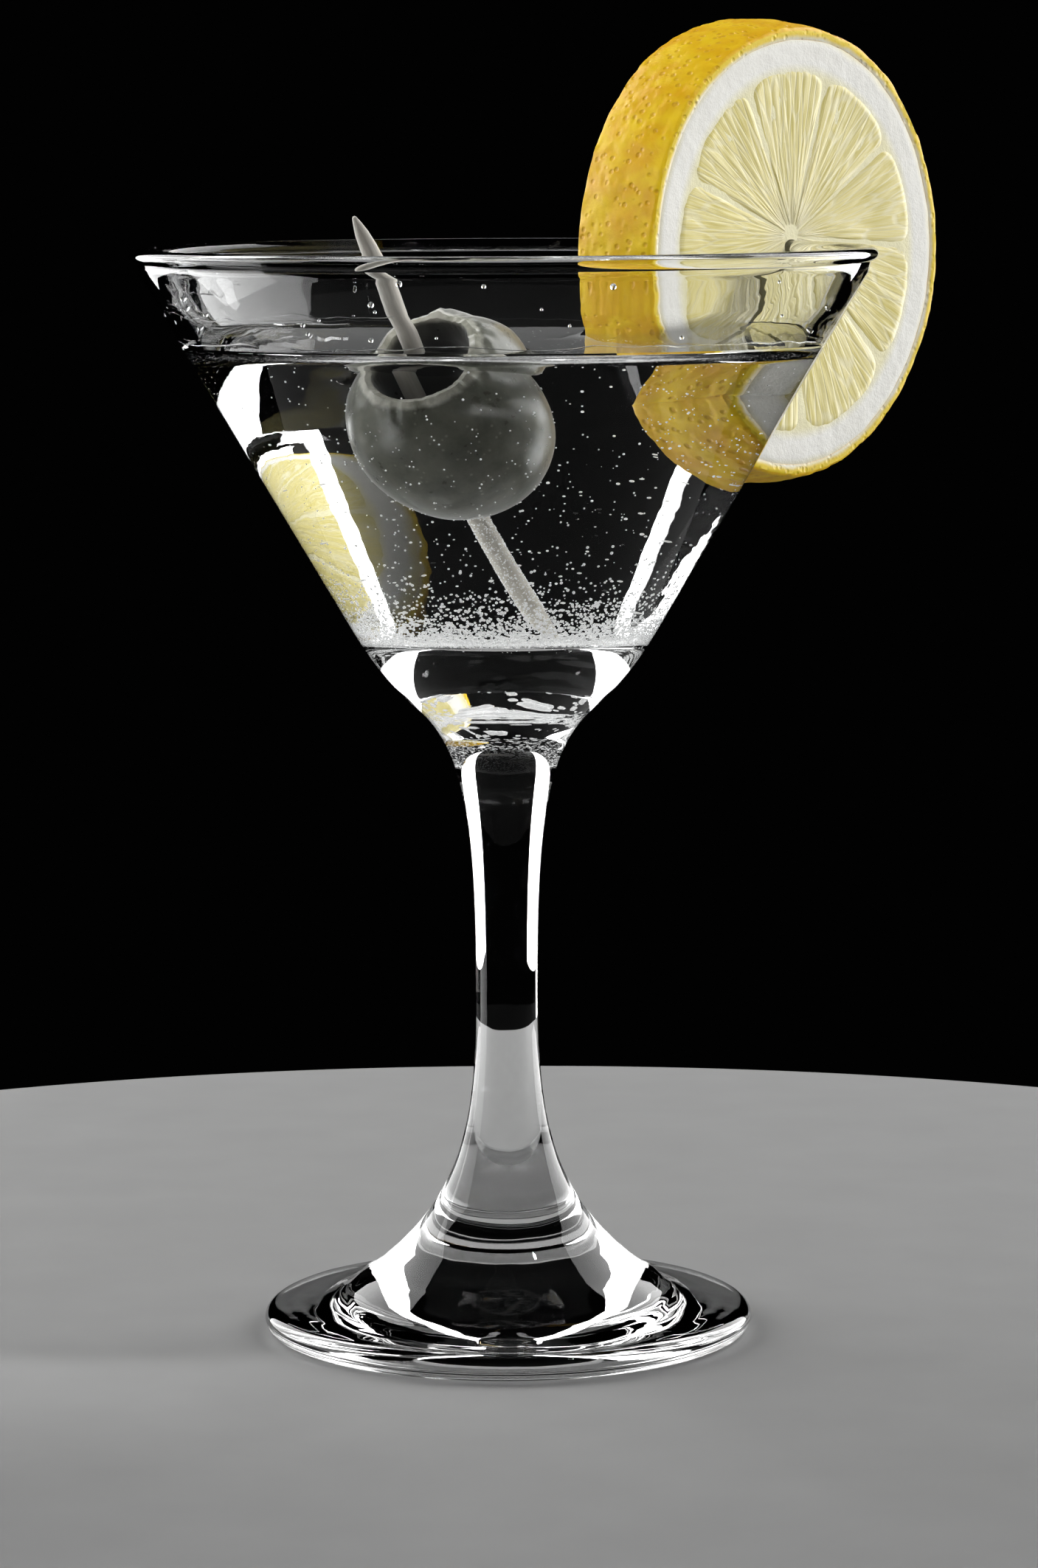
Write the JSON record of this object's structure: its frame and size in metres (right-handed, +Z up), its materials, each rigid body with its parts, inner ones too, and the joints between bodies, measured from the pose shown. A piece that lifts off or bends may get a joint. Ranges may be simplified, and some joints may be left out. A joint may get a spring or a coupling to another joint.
{
  "type": "vodka martini",
  "caption": "Stemmed cocktail glass of clear drink, with a pitted olive on a wooden pick and a thick lemon wheel slit over the rim.",
  "frame": {"origin": "middle of the foot's flat underside, on the glass's own axis", "axes": "+Z up along the stem, +X to the viewer's right, +Y away from the viewer"},
  "size_m": [0.1136, 0.1124, 0.1806],
  "materials": {
    "clear_glass": "clear, polished",
    "clear_drink": "clear liquid with fine bubbles",
    "olive_skin": "wet, smooth skin with paler cut flesh",
    "pale_wood": "plain, fine grain",
    "lemon_flesh": "wet pulp, white pith, dimpled yellow rind"
  },
  "bodies": {
    "root": {"glass": "clear_glass", "drink": "clear_drink", "olive": "olive_skin", "pick": "pale_wood", "lemon_slice": "lemon_flesh"}
  },
  "joints": []
}
